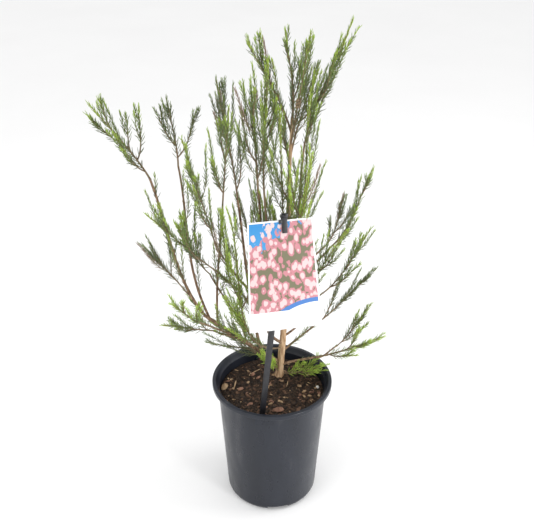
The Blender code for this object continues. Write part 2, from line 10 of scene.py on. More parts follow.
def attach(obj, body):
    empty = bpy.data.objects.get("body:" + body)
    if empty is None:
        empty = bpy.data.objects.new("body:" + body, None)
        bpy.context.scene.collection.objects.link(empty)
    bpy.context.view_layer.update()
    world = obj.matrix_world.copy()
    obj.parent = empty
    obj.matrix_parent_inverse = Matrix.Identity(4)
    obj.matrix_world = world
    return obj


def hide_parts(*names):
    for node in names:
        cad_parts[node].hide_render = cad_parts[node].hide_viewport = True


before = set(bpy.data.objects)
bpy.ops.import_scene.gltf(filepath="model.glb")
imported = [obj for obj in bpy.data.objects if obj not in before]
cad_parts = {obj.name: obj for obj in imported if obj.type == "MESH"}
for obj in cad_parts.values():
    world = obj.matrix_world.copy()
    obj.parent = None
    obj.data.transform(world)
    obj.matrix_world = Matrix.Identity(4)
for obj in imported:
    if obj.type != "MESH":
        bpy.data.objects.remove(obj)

scene = bpy.context.scene
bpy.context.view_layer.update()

# The view: a plain pale floor of matt paper, soft light from a studio's white walls and three light boxes,
# and a camera that looks down on the plant from the front, a little above it.
CAMERA_PLACE = (-0.00589, -0.75194, 0.7375)
CAMERA_TILT = math.radians(60.71)
CAMERA_LENS = 53.93
SENSOR_WIDTH = 36
WALL_LIGHT = 0.98
LIGHT_AIM = Vector((0, 0, 0.25))
FLOOR_REACH = 7
FLOOR_DROP = 0.0003
# name, place, width in metres, power in watts
LIGHT_BOXES = [
    ("light_box_left", (-1.1, -0.9, 1.5), 0.9, 9.0),
    ("light_box_right", (1.2, 0.1, 0.9), 0.7, 6.0),
    ("light_box_low", (0.75, -0.75, 0.32), 0.22, 5.0),
]
camera_data = bpy.data.cameras.new("view")
camera_data.sensor_fit = "HORIZONTAL"
camera_data.sensor_width = SENSOR_WIDTH
camera_data.lens = CAMERA_LENS
camera = bpy.data.objects.new("view", camera_data)
camera.location = CAMERA_PLACE
camera.rotation_euler = (CAMERA_TILT, 0, 0)
scene.collection.objects.link(camera)
scene.camera = camera
scene.view_settings.view_transform = "Standard"

studio = bpy.data.worlds.new("studio")
scene.world = studio
studio.use_nodes = True
studio_walls = studio.node_tree.nodes["Background"]
studio_walls.inputs["Color"].default_value = (1, 1, 1, 1)
studio_walls.inputs["Strength"].default_value = WALL_LIGHT

for name, place, width, power in LIGHT_BOXES:
    lamp_data = bpy.data.lights.new(name, "AREA")
    lamp_data.size = width
    lamp_data.energy = power
    lamp = bpy.data.objects.new(name, lamp_data)
    lamp.location = place
    lamp.rotation_euler = (LIGHT_AIM - Vector(place)).to_track_quat("-Z", "Y").to_euler()
    scene.collection.objects.link(lamp)


def new_finish(name, values):
    """A material whose shader sockets are set to these values."""
    finish = bpy.data.materials.new(name)
    finish.use_nodes = True
    shader = finish.node_tree.nodes["Principled BSDF"]
    for socket, value in values.items():
        shader.inputs[socket].default_value = value
    return finish


def grain(finish, scale, stretch=(1, 1, 1), detail=4):
    """A noise over the piece's own place in metres."""
    nodes, links = finish.node_tree.nodes, finish.node_tree.links
    place = nodes.new("ShaderNodeTexCoord")
    spread = nodes.new("ShaderNodeMapping")
    spread.inputs["Scale"].default_value = stretch
    pattern = nodes.new("ShaderNodeTexNoise")
    pattern.inputs["Scale"].default_value = scale
    pattern.inputs["Detail"].default_value = detail
    links.new(place.outputs["Object"], spread.inputs["Vector"])
    links.new(spread.outputs["Vector"], pattern.inputs["Vector"])
    return pattern.outputs[0]


def shades(finish, pattern, *stops, socket="Base Color"):
    """Give a shader socket the colours that stand at these places along the pattern."""
    nodes, links = finish.node_tree.nodes, finish.node_tree.links
    ramp = nodes.new("ShaderNodeValToRGB")
    elements = ramp.color_ramp.elements
    elements[0].position, elements[0].color = stops[0][0], (*stops[0][1], 1)
    elements[1].position, elements[1].color = stops[-1][0], (*stops[-1][1], 1)
    for place, colour in stops[1:-1]:
        elements.new(place).color = (*colour, 1)
    links.new(pattern, ramp.inputs[0])
    links.new(ramp.outputs[0], nodes["Principled BSDF"].inputs[socket])


def relief(finish, pattern, height, strength):
    """Let the pattern stand out of the surface by this height."""
    nodes, links = finish.node_tree.nodes, finish.node_tree.links
    bump = nodes.new("ShaderNodeBump")
    bump.inputs["Distance"].default_value = height
    bump.inputs["Strength"].default_value = strength
    links.new(pattern, bump.inputs["Height"])
    links.new(bump.outputs["Normal"], nodes["Principled BSDF"].inputs["Normal"])


def add_piece(name, mesh, *finishes):
    """Put a mesh in the scene as an object of its own, with its finishes."""
    piece = bpy.data.objects.new(name, mesh)
    scene.collection.objects.link(piece)
    for finish in finishes:
        mesh.materials.append(finish)
    return piece


def mesh_from(name, places, faces=()):
    """A mesh of these points and faces."""
    mesh = bpy.data.meshes.new(name)
    mesh.from_pydata(places, [], faces)
    return mesh


def hold(piece, slot, *nodes):
    """Fix a finished piece to the plant's one body, in the place of the plain solids that it stands for."""
    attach(piece, "root")
    if nodes:
        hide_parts(*nodes)


floor_paper = new_finish("floor_paper", {"Roughness": 0.9})
shades(floor_paper, grain(floor_paper, 3), (0.3, (0.9, 0.9, 0.9)), (0.7, (0.92, 0.92, 0.92)))
floor_corners = [(x * FLOOR_REACH, y * FLOOR_REACH, -FLOOR_DROP)
                 for x, y in ((-1, -1), (1, -1), (1, 1), (-1, 1))]
floor = add_piece("floor", mesh_from("floor", floor_corners, [(0, 1, 2, 3)]), floor_paper)

# The pot: moulded polypropylene, dyed charcoal, with a satin skin and faint scuffs from the nursery bench.
# A deep lip stiffens the rim, four drain pockets stand in the foot, and a small lug under the lip is the
# place where a label can lock. It stands on its flat underside.
POT_HEIGHT = 0.16
LIP_RADIUS = 0.07
LIP_BAND = 0.0055
LIP_ROUNDING = 0.0012
LIP_FOOT_ROUNDING = 0.0008
LIP_OPENING = 0.0655
LIP_CHAMFER = 0.0006
LIP_THROAT = (0.0008, 0.003)
UNDER_LIP = 0.001
WALL_TOP_RADIUS = 0.0635
WALL_FOOT_RADIUS = 0.0543
WALL = 0.0016
FOOT_ROUNDING = 0.0085
POT_STEPS = 144
PEG_SIDES = 32
CUT_PAST = 0.01
DRAIN_COUNT = 4
DRAIN_TURN = math.radians(-82)
DRAIN_ROOM = (0.015, 0.025, 0.007)
DRAIN_INSET = 0.013
DRAIN_HOLE_RADIUS = 0.0035
DRAIN_HOLE_INSET = 0.0075
DRAIN_HOLE_DEPTH = 0.006
LOCK_SIZE = (0.02, 0.01, 0.01)
LOCK_PLACE = (-0.0095, -0.059, 0.149)


def wall_radius(height):
    """The wall's outer radius at this height, on its straight taper."""
    taper = (WALL_TOP_RADIUS - WALL_FOOT_RADIUS) / (POT_HEIGHT - LIP_BAND - FOOT_ROUNDING)
    return WALL_FOOT_RADIUS + taper * (height - FOOT_ROUNDING)


def arc(middle, radius, first, last, steps):
    """Points on part of a circle in the plane of radius and height, angles in degrees."""
    turns = [math.radians(first + (last - first) * step / steps) for step in range(steps + 1)]
    return [(middle[0] + radius * math.cos(turn), middle[1] + radius * math.sin(turn)) for turn in turns]


def rounded_foot(inset):
    """The wall's foot and its rounding, moved inward by inset."""
    return arc((WALL_FOOT_RADIUS - FOOT_ROUNDING, FOOT_ROUNDING), FOOT_ROUNDING - inset, 0, -90, steps=8)


def turned_mesh(name, profile, steps):
    """A closed solid of revolution from (radius, height) points that run down its outer side."""
    places, rings, faces = [], [], []
    for radius, height in profile:
        if radius == 0:
            rings.append([len(places)] * steps)
            places.append((0, 0, height))
            continue
        rings.append(list(range(len(places), len(places) + steps)))
        for step in range(steps):
            turn = math.tau * step / steps
            places.append((radius * math.cos(turn), radius * math.sin(turn), height))
    for upper, lower in zip(rings, rings[1:]):
        for step in range(steps):
            after = (step + 1) % steps
            corners = (upper[step], lower[step], lower[after], upper[after])
            faces.append(list(dict.fromkeys(corners)))
    return mesh_from(name, places, faces)


def mesh_of(name, shape):
    """A mesh of this shape, which is then put away."""
    mesh = bpy.data.meshes.new(name)
    shape.to_mesh(mesh)
    shape.free()
    return mesh


def box_mesh(name, size, middle, turn=0):
    """A box, moved to its middle and then turned about the pot's axis."""
    shape = bmesh.new()
    place = Matrix.Rotation(turn, 4, "Z") @ Matrix.Translation(middle) @ Matrix.Diagonal((*size, 1))
    bmesh.ops.create_cube(shape, size=1, matrix=place)
    return mesh_of(name, shape)


def peg_mesh(name, radius, depth, matrix):
    """A round peg along its matrix's Z."""
    shape = bmesh.new()
    bmesh.ops.create_cone(
        shape, cap_ends=True, segments=PEG_SIDES, radius1=radius, radius2=radius, depth=depth, matrix=matrix)
    return mesh_of(name, shape)


def settle(piece):
    """Replace the piece's mesh with what its modifiers make of it."""
    depsgraph = bpy.context.evaluated_depsgraph_get()
    mesh = bpy.data.meshes.new_from_object(piece.evaluated_get(depsgraph))
    piece.modifiers.clear()
    piece.data = mesh


def carve(piece, tool_mesh, operation="DIFFERENCE"):
    """Cut or join one piece with the solid of a tool mesh."""
    tool = add_piece("tool", tool_mesh)
    modifier = piece.modifiers.new("Carve", "BOOLEAN")
    modifier.operation = operation
    modifier.solver = "EXACT"
    modifier.object = tool
    settle(piece)
    bpy.data.objects.remove(tool)


def smooth_faces(piece, edge_angle):
    """Shade a piece smooth, with a crisp edge where its faces turn by more than this many degrees."""
    piece.data.shade_smooth()
    piece.data.set_sharp_from_angle(angle=math.radians(edge_angle))


def drain_box(turn, grow):
    """One drain pocket's room, grown on every side."""
    depth, width, height = DRAIN_ROOM
    size = (depth + 2 * grow, width + 2 * grow, 2 * (height + grow))
    middle = (WALL_FOOT_RADIUS - DRAIN_INSET + depth / 2, 0, 0)
    return box_mesh("drain_box", size, middle, turn)


drain_turns = [DRAIN_TURN + step * math.tau / DRAIN_COUNT for step in range(DRAIN_COUNT)]
lip_foot = POT_HEIGHT - LIP_BAND
mouth = LIP_OPENING + LIP_CHAMFER
pot_outside = [
    (0, POT_HEIGHT),
    *arc((LIP_RADIUS - LIP_ROUNDING, POT_HEIGHT - LIP_ROUNDING), LIP_ROUNDING, 90, 0, steps=5),
    *arc((LIP_RADIUS - LIP_FOOT_ROUNDING, lip_foot + LIP_FOOT_ROUNDING), LIP_FOOT_ROUNDING, 0, -90, steps=4),
    (wall_radius(lip_foot), lip_foot), *rounded_foot(0), (0, 0)]
pot_inside = [
    (0, POT_HEIGHT + CUT_PAST), (mouth, POT_HEIGHT + CUT_PAST), (mouth, POT_HEIGHT),
    (LIP_OPENING, POT_HEIGHT - LIP_CHAMFER), (LIP_OPENING - LIP_THROAT[0], POT_HEIGHT - LIP_THROAT[1]),
    (wall_radius(lip_foot) - WALL, lip_foot - UNDER_LIP), *rounded_foot(WALL), (0, WALL)]

pot_plastic = new_finish("pot_satin_plastic", {"Specular IOR Level": 0.32})
skin = grain(pot_plastic, 38, (1, 1, 0.25), 5)
shades(pot_plastic, skin, (0.25, (0.01, 0.012, 0.018)), (0.62, (0.017, 0.02, 0.029)),
       (0.74, (0.036, 0.038, 0.046)))
shades(pot_plastic, grain(pot_plastic, 90, (1, 1, 0.4), 5), (0.3, (0.24, 0.24, 0.24)),
       (0.7, (0.38, 0.38, 0.38)), socket="Roughness")
relief(pot_plastic, grain(pot_plastic, 700), 0.0002, 0.12)

pot = add_piece("nursery_pot", turned_mesh("nursery_pot", pot_outside, POT_STEPS), pot_plastic)
carve(pot, box_mesh("lock", LOCK_SIZE, LOCK_PLACE), "UNION")
cavity = add_piece("cavity", turned_mesh("cavity", pot_inside, POT_STEPS))
for turn in drain_turns:
    carve(cavity, drain_box(turn, WALL))
carve(pot, cavity.data)
bpy.data.objects.remove(cavity)
for turn in drain_turns:
    carve(pot, drain_box(turn, 0))
    hole_middle = Matrix.Translation((WALL_FOOT_RADIUS - DRAIN_HOLE_INSET, 0, DRAIN_ROOM[2]))
    spot = Matrix.Rotation(turn, 4, "Z") @ hole_middle
    carve(pot, peg_mesh("drain_hole", DRAIN_HOLE_RADIUS, DRAIN_HOLE_DEPTH, spot))
smooth_faces(pot, edge_angle=28)
hold(pot, "pot_plastic", "pot")

# The potting mix: moist composted bark and fibre, tipped in loose, so its top is lumpy, with a low mound
# at the trunk. Bark chips, splinters and one white pebble lie on it, pressed in a little by watering.
MIX_LEVEL = 0.143
MIX_RADIUS = 0.0605
MIX_STEPS = 170
MIX_RINGS = 55
MIX_RING_WIDTH = 0.0011
MIX_WAIST = 0.03
MIX_FOOT = 0.0035
MIX_FOOT_RADIUS = 0.044
MIX_WALL_GAP = 0.0004
MIX_PROUD = 0.0004
MIX_EDGE = 0.004
MIX_MOUND = 0.003
MOUND_REACH = 0.046
MOUND_SLOPE = 0.03
TRUNK_SPOT = (0.0085, 0.022)
# how closely the lumps lie and how high they stand, and where the pattern they come from is sliced
MIX_LUMPS = [(70, 0.0016), (190, 0.0013), (520, 0.0006)]
LUMPS_SLICE = 0.31


def mix_height(x, y):
    """How high the mix's top lies here."""
    away = math.hypot(x - TRUNK_SPOT[0], y - TRUNK_SPOT[1])
    mound = MIX_MOUND * min(1, max(0, (MOUND_REACH - away) / MOUND_SLOPE))
    edge = min(1, max(0, (MIX_RADIUS - math.hypot(x, y)) / MIX_EDGE))
    lumps = sum(height * noise.noise(Vector((x, y, LUMPS_SLICE)) * scale) for scale, height in MIX_LUMPS)
    return MIX_LEVEL + mound + MIX_PROUD + lumps * edge


mix_crumbs = new_finish("mix_crumbs", {"Roughness": 0.92, "Specular IOR Level": 0.25})
crumbs = grain(mix_crumbs, 420, detail=6)
shades(mix_crumbs, crumbs, (0.32, (0.008, 0.006, 0.005)), (0.5, (0.03, 0.019, 0.013)),
       (0.66, (0.085, 0.05, 0.03)))
relief(mix_crumbs, crumbs, 0.0016, 0.9)
mix_profile = [(ring * MIX_RING_WIDTH, MIX_LEVEL) for ring in range(MIX_RINGS)]
mix_profile += [(MIX_RADIUS, MIX_LEVEL), (wall_radius(MIX_WAIST) - WALL - MIX_WALL_GAP, MIX_WAIST),
                (MIX_FOOT_RADIUS, MIX_FOOT), (0, MIX_FOOT)]
mix_mesh = turned_mesh("mix_bed", mix_profile, MIX_STEPS)
for vertex in mix_mesh.vertices:
    if vertex.co.z > MIX_LEVEL / 2:
        vertex.co.z = mix_height(vertex.co.x, vertex.co.y)
mix_mesh.shade_smooth()
mix_bed = add_piece("mix_bed", mix_mesh, mix_crumbs)
hold(mix_bed, "potting_mix", "potting_mix")

# The tree of nodes that repeats a small piece at every point, each by its own turn and size
pieces_tree = bpy.data.node_groups.new("pieces_on_points", "GeometryNodeTree")
tree_sockets = {}
for label, kind in (("Points", "Geometry"), ("Piece", "Object"), ("Finish", "Material")):
    socket = pieces_tree.interface.new_socket(label, in_out="INPUT", socket_type="NodeSocket" + kind)
    tree_sockets[label] = socket.identifier
pieces_tree.interface.new_socket("Pieces", in_out="OUTPUT", socket_type="NodeSocketGeometry")
enter = pieces_tree.nodes.new("NodeGroupInput")
leave = pieces_tree.nodes.new("NodeGroupOutput")
source = pieces_tree.nodes.new("GeometryNodeObjectInfo")
fields = {}
for key in ("turn", "size"):
    fields[key] = pieces_tree.nodes.new("GeometryNodeInputNamedAttribute")
    fields[key].data_type = "FLOAT_VECTOR"
    fields[key].inputs["Name"].default_value = key
to_turn = pieces_tree.nodes.new("FunctionNodeEulerToRotation")
spread_out = pieces_tree.nodes.new("GeometryNodeInstanceOnPoints")
make_real = pieces_tree.nodes.new("GeometryNodeRealizeInstances")
set_finish = pieces_tree.nodes.new("GeometryNodeSetMaterial")
for give, take in (
        (enter.outputs["Points"], spread_out.inputs["Points"]),
        (enter.outputs["Piece"], source.inputs["Object"]),
        (source.outputs["Geometry"], spread_out.inputs["Instance"]),
        (fields["turn"].outputs["Attribute"], to_turn.inputs[0]),
        (to_turn.outputs[0], spread_out.inputs["Rotation"]),
        (fields["size"].outputs["Attribute"], spread_out.inputs["Scale"]),
        (spread_out.outputs[0], make_real.inputs[0]),
        (make_real.outputs[0], set_finish.inputs["Geometry"]),
        (enter.outputs["Finish"], set_finish.inputs["Material"]),
        (set_finish.outputs[0], leave.inputs[0])):
    pieces_tree.links.new(give, take)


def strewn(name, piece, spots, finish):
    """One mesh of a small piece repeated at every spot, each spot a (place, turn, size)."""
    mesh = mesh_from(name, [spot[0] for spot in spots])
    for key, column in (("turn", 1), ("size", 2)):
        values = mesh.attributes.new(key, "FLOAT_VECTOR", "POINT")
        values.data.foreach_set("vector", [value for spot in spots for value in spot[column]])
    strewing = add_piece(name, mesh)
    modifier = strewing.modifiers.new("Pieces", "NODES")
    modifier.node_group = pieces_tree
    modifier[tree_sockets["Piece"]] = piece
    modifier[tree_sockets["Finish"]] = finish
    settle(strewing)
    for key in fields:
        if key in strewing.data.attributes:
            strewing.data.attributes.remove(strewing.data.attributes[key])
    return strewing


# A chip of length 1: a seven-sided slice, knocked out of shape, with its edges broken
CHIP_KNOCKS = (0.72, 1.12)
chip_shape = bmesh.new()
bmesh.ops.create_cone(chip_shape, cap_ends=True, segments=7, radius1=0.5, radius2=0.42, depth=0.34)
chip_dice = random.Random(3)
for vertex in chip_shape.verts:
    vertex.co *= chip_dice.uniform(*CHIP_KNOCKS)
bmesh.ops.bevel(chip_shape, geom=chip_shape.edges[:], offset=0.045, segments=1, affect="EDGES")
chip = add_piece("chip", mesh_of("chip", chip_shape))

# The small chips: how far out they lie, their lengths, and their width and height as shares of that
CHIP_REACH = 0.059
CHIP_LENGTHS = (0.0022, 0.008)
CHIP_WIDTHS = (0.25, 0.8)
CHIP_HEIGHTS = (0.3, 0.9)
CHIP_TILT = 0.35
CHIP_LIFT = 0.0003
# The chips that show best lie flatter and higher
SHOWN_TILT = (0.12, -0.08)
SHOWN_LIFT = 0.0012
SHOWN_THINNEST = 0.0022
# tone: colour of the low places, colour of the high places, how many small chips lie about
CHIP_TONES = {
    "dark": ((0.012, 0.008, 0.006), (0.05, 0.032, 0.022), 520),
    "brown": ((0.045, 0.024, 0.015), (0.14, 0.078, 0.048), 200),
    "rosy": ((0.13, 0.065, 0.045), (0.33, 0.18, 0.12), 60),
    "tan": ((0.23, 0.14, 0.075), (0.54, 0.38, 0.23), 64),
}
# the chips and splinters that show best: tone, place, turn in degrees, length, width
SHOWN_CHIPS = [
    ("tan", (-0.056, 0.004), 70, 0.014, 0.0095), ("tan", (-0.044, 0.006), 82, 0.021, 0.0018),
    ("rosy", (-0.0366, -0.001), 20, 0.0085, 0.006), ("rosy", (-0.0254, -0.029), 50, 0.01, 0.006),
    ("rosy", (0.0072, -0.0395), 8, 0.0155, 0.01), ("tan", (0.038, -0.006), 30, 0.007, 0.004),
    ("tan", (0.044, -0.013), -20, 0.006, 0.0035), ("tan", (-0.0035, 0.0024), 4, 0.01, 0.0014),
    ("tan", (0.0184, 0.0063), 80, 0.012, 0.0013), ("brown", (-0.012, -0.046), -30, 0.013, 0.006),
    ("tan", (-0.02, 0.03), 35, 0.02, 0.0012), ("brown", (0.03, -0.04), 60, 0.012, 0.0055),
]
chip_dice = random.Random(11)
for tone, (low, high, count) in CHIP_TONES.items():
    chip_bark = new_finish(f"{tone}_chip_bark", {"Roughness": 0.85, "Specular IOR Level": 0.3})
    fibres = grain(chip_bark, 300, (1, 0.35, 1), 5)
    shades(chip_bark, fibres, (0.34, low), (0.66, high))
    relief(chip_bark, fibres, 0.0005, 0.6)
    spots = []
    for _ in range(count):
        away = CHIP_REACH * math.sqrt(chip_dice.random())
        turn = chip_dice.uniform(0, math.tau)
        x, y = away * math.cos(turn), away * math.sin(turn)
        length = chip_dice.uniform(*CHIP_LENGTHS)
        width = length * chip_dice.uniform(*CHIP_WIDTHS)
        height = length * chip_dice.uniform(*CHIP_HEIGHTS)
        tilt = (chip_dice.gauss(0, CHIP_TILT), chip_dice.gauss(0, CHIP_TILT), chip_dice.uniform(0, math.tau))
        spots.append(((x, y, mix_height(x, y) + CHIP_LIFT), tilt, (length, width, height)))
    for shown_tone, (x, y), turn, length, width in SHOWN_CHIPS:
        if shown_tone == tone:
            tilt = (*SHOWN_TILT, math.radians(turn))
            size = (length, width, max(SHOWN_THINNEST, width / 2))
            spots.append(((x, y, mix_height(x, y) + SHOWN_LIFT), tilt, size))
    chips = strewn(f"{tone}_bark_chips", chip, spots, chip_bark)
    hold(chips, "potting_mix")
bpy.data.objects.remove(chip)

PEBBLE_SPOT = (0.0538, 0.0006)
PEBBLE_RADIUS = 0.002
PEBBLE_LIFT = 0.001
PEBBLE_DENTS = 0.16
PEBBLE_DENT_SCALE = 500
pebble_stone = new_finish("pebble_stone", {"Roughness": 0.6})
shades(pebble_stone, grain(pebble_stone, 900), (0.3, (0.62, 0.6, 0.56)), (0.7, (0.85, 0.84, 0.8)))
pebble_place = Vector((*PEBBLE_SPOT, mix_height(*PEBBLE_SPOT) + PEBBLE_LIFT))
pebble_shape = bmesh.new()
bmesh.ops.create_icosphere(pebble_shape, subdivisions=3, radius=PEBBLE_RADIUS)
for vertex in pebble_shape.verts:
    vertex.co *= 1 + PEBBLE_DENTS * noise.noise(vertex.co * PEBBLE_DENT_SCALE)
    vertex.co += pebble_place
pebble_mesh = mesh_of("pebble", pebble_shape)
pebble_mesh.shade_smooth()
pebble = add_piece("pebble", pebble_mesh, pebble_stone)
hold(pebble, "potting_mix")

# The label: a card of white plastic sheet, printed with a soft flower-bed picture of blue sky, pale pink
# heads and a blue sweep, with a bare white foot. It hangs by a punched hole and curls forward below.
CARD_TOP_WIDTH = 0.066
CARD_FOOT_WIDTH = 0.076
CARD_HEIGHT = 0.112
CARD_THICKNESS = 0.0006
CARD_CURL = 0.005
CARD_TURN = math.radians(12)
CARD_LEAN = math.radians(-14.5)
CARD_HOLE = (0.004, -0.009)
CARD_HOLE_RADIUS = 0.0024
CARD_TOP = (0.007, -0.043, 0.387)
card_place = (Matrix.Translation(CARD_TOP)
              @ Matrix.Rotation(CARD_TURN, 4, "Z") @ Matrix.Rotation(CARD_LEAN, 4, "X"))


def card_curl(height):
    """How far the card comes forward at this height below its top."""
    return -CARD_CURL * (height / CARD_HEIGHT) ** 2


card_print = new_finish("card_print", {"Roughness": 0.32, "Coat Weight": 0.15})
print_nodes, print_links = card_print.node_tree.nodes, card_print.node_tree.links


def reckon(operation, first, second=0.0):
    """A number worked out from sockets or plain numbers."""
    node = print_nodes.new("ShaderNodeMath")
    node.operation = operation
    for socket, value in zip(node.inputs, (first, second)):
        if isinstance(value, (int, float)):
            socket.default_value = value
        else:
            print_links.new(value, socket)
    return node.outputs[0]


def over(share, under, top):
    """The top colour laid over the one under it, where share is 1."""
    node = print_nodes.new("ShaderNodeMixRGB")
    for socket, value in zip(node.inputs, (share, under, top)):
        if isinstance(value, tuple):
            socket.default_value = (*value, 1)
        else:
            print_links.new(value, socket)
    return node.outputs[0]


# The print, by shares of the card's width and height: a bed of heads whose top rises to the right under
# the sky, and at the foot a blue sweep, part of a wide oval
SKY_LOW = (0.12, 0.42, 0.64)
SKY_HIGH = (0.02, 0.22, 0.52)
BED_BROWN = (0.15, 0.14, 0.08)
SWEEP_BLUE = (0.05, 0.17, 0.46)
CARD_WHITE = (0.84, 0.85, 0.87)
HEAD_SWAY = 0.9
BED_RISE = 0.42
BED_RAGGED = 0.3
BED_TOP = 0.8
# how soon the slope thins the heads out, how large they are, their colour
HEAD_LAYERS = [(0.74, 0.66, (0.5, 0.2, 0.23)), (0.42, 0.42, (0.66, 0.5, 0.5))]
SWEEP_MIDDLE = (0.95, -0.42)
SWEEP_STRETCH = 1.5
SWEEP_LAYERS = [(1.03, SWEEP_BLUE), (0.97, CARD_WHITE)]
PRINT_MARGIN = 0.022
PRINT_TOP = 0.986
PRINT_FOOT = 0.17
card_map = print_nodes.new("ShaderNodeUVMap")
card_map.uv_map = "card"
card_axes = print_nodes.new("ShaderNodeSeparateXYZ")
print_links.new(card_map.outputs["UV"], card_axes.inputs[0])
across, upward = card_axes.outputs[:2]
heads = print_nodes.new("ShaderNodeTexVoronoi")
heads.inputs["Scale"].default_value = 13.0
print_links.new(card_map.outputs["UV"], heads.inputs["Vector"])
wisps = print_nodes.new("ShaderNodeTexNoise")
wisps.inputs["Scale"].default_value = 14.0
wisps.inputs["Detail"].default_value = 5.0
print_links.new(card_map.outputs["UV"], wisps.inputs["Vector"])
wisp = wisps.outputs[0]
sway = reckon("MULTIPLY", reckon("SUBTRACT", wisp, 0.5), HEAD_SWAY)
head_distance = reckon("ADD", heads.outputs["Distance"], sway)
ragged = reckon("ADD", upward, reckon("MULTIPLY", wisp, BED_RAGGED))
slope = reckon("ADD", reckon("MULTIPLY", across, -BED_RISE), ragged)
picture = over(upward, SKY_LOW, SKY_HIGH)
picture = over(reckon("LESS_THAN", slope, BED_TOP), picture, BED_BROWN)
for thinning, head_size, colour in HEAD_LAYERS:
    near_head = reckon("MAXIMUM", head_distance, reckon("MULTIPLY", slope, thinning))
    picture = over(reckon("LESS_THAN", near_head, head_size), picture, colour)
sweep_aside = reckon("POWER", reckon("SUBTRACT", across, SWEEP_MIDDLE[0]), 2.0)
sweep_height = reckon("MULTIPLY", reckon("SUBTRACT", upward, SWEEP_MIDDLE[1]), SWEEP_STRETCH)
sweep = reckon("SQRT", reckon("ADD", sweep_aside, reckon("POWER", sweep_height, 2.0)))
for sweep_reach, colour in SWEEP_LAYERS:
    picture = over(reckon("LESS_THAN", sweep, sweep_reach), picture, colour)
side_margin = reckon("MINIMUM", across, reckon("SUBTRACT", 1.0, across))
inside = reckon("GREATER_THAN", side_margin, PRINT_MARGIN)
inside = reckon("MINIMUM", inside, reckon("LESS_THAN", upward, PRINT_TOP))
inside = reckon("MINIMUM", inside, reckon("GREATER_THAN", upward, PRINT_FOOT))
picture = over(inside, CARD_WHITE, picture)
print_links.new(picture, print_nodes["Principled BSDF"].inputs["Base Color"])

card_back = new_finish("card_white_back", {"Roughness": 0.4})
shades(card_back, grain(card_back, 60), (0.3, (0.8, 0.81, 0.83)), (0.7, CARD_WHITE))

CARD_COLUMNS = 20
CARD_ROWS = 36
card_places, card_faces, card_spots = [], [], []
for row in range(CARD_ROWS + 1):
    height = -CARD_HEIGHT * (1 - row / CARD_ROWS)
    width = CARD_TOP_WIDTH + (CARD_FOOT_WIDTH - CARD_TOP_WIDTH) * (1 - row / CARD_ROWS)
    for column in range(CARD_COLUMNS + 1):
        share = column / CARD_COLUMNS
        card_places.append((width * (share - 0.5), card_curl(height), height))
        card_spots.append((share, row / CARD_ROWS))
for row in range(CARD_ROWS):
    for column in range(CARD_COLUMNS):
        corner = row * (CARD_COLUMNS + 1) + column
        card_faces.append((corner, corner + 1, corner + CARD_COLUMNS + 2, corner + CARD_COLUMNS + 1))
card_mesh = mesh_from("label_card_printed", card_places, card_faces)
card_layer = card_mesh.uv_layers.new(name="card")
for loop in card_mesh.loops:
    card_layer.data[loop.index].uv = card_spots[loop.vertex_index]
card_mesh.transform(card_place)
card = add_piece("label_card_printed", card_mesh, card_print, card_back)
sheet = card.modifiers.new("Thickness", "SOLIDIFY")
sheet.thickness = CARD_THICKNESS
sheet.offset = 0
sheet.material_offset = 1
sheet.material_offset_rim = 1
settle(card)
hole_place = Matrix.Translation((CARD_HOLE[0], 0, CARD_HOLE[1])) @ Matrix.Rotation(math.pi / 2, 4, "X")
carve(card, peg_mesh("card_hole", CARD_HOLE_RADIUS, CUT_PAST, card_place @ hole_place))
smooth_faces(card, edge_angle=30)
hold(card, "label_print", "label_card")

# The label's stem: a flat bar of black moulded plastic, pushed into the mix at the front of the pot.
# At its head a hook reaches over the card's top edge, and a pin through the punched hole holds the card.
STEM_FOOT = (-0.014, -0.053, 0.12)
STEM_HEAD = (0.0117, -0.0388, 0.3925)
STEM_SECTION = (0.0065, 0.0026)
STEM_ROUNDING = 0.0004
HOOK_WIDTH = 0.0055
HOOK_LENGTH = 0.017
# the blocks at its head, in the card's own frame: size, then middle, counted sideways from the hole
HEAD_BLOCKS = {
    "hook": ((HOOK_WIDTH, 0.0016, HOOK_LENGTH), (0, -0.0016, 0.004 - HOOK_LENGTH / 2)),
    "bridge": ((HOOK_WIDTH, 0.008, 0.003), (0, 0.0016, 0.0035)),
    "catch": ((0.0035, 0.0016, 0.004), (-0.004, -0.0016, -0.001)),
}
PIN_RADIUS = CARD_HOLE_RADIUS - 0.0008
PIN_LENGTH = 0.0062
PIN_BACK = 0.001
stem_black = new_finish("stem_black_plastic", {"Specular IOR Level": 0.5})
shades(stem_black, grain(stem_black, 220), (0.3, (0.01, 0.01, 0.012)), (0.7, (0.02, 0.02, 0.024)))
shades(stem_black, grain(stem_black, 400), (0.3, (0.34, 0.34, 0.34)), (0.7, (0.5, 0.5, 0.5)),
       socket="Roughness")

stem_along = (Vector(STEM_HEAD) - Vector(STEM_FOOT)).normalized()
stem_across = Vector((math.cos(CARD_TURN), math.sin(CARD_TURN), 0))
stem_back = stem_along.cross(stem_across).normalized()
stem_across = stem_back.cross(stem_along)
stem_turn = Matrix((stem_across, stem_back, stem_along)).transposed().to_4x4()
stem_place = Matrix.Translation(STEM_FOOT) @ stem_turn
stem_length = (Vector(STEM_HEAD) - Vector(STEM_FOOT)).length
stem_blocks = [(stem_place, (*STEM_SECTION, stem_length), (0, 0, stem_length / 2))]
for size, (aside, back, height) in HEAD_BLOCKS.values():
    stem_blocks.append((card_place, size, (CARD_HOLE[0] + aside, back, height)))
stem_shape = bmesh.new()
for place, size, middle in stem_blocks:
    block_place = place @ Matrix.Translation(middle) @ Matrix.Diagonal((*size, 1))
    bmesh.ops.create_cube(stem_shape, size=1, matrix=block_place)
pin_middle = Matrix.Translation((CARD_HOLE[0], PIN_BACK, CARD_HOLE[1]))
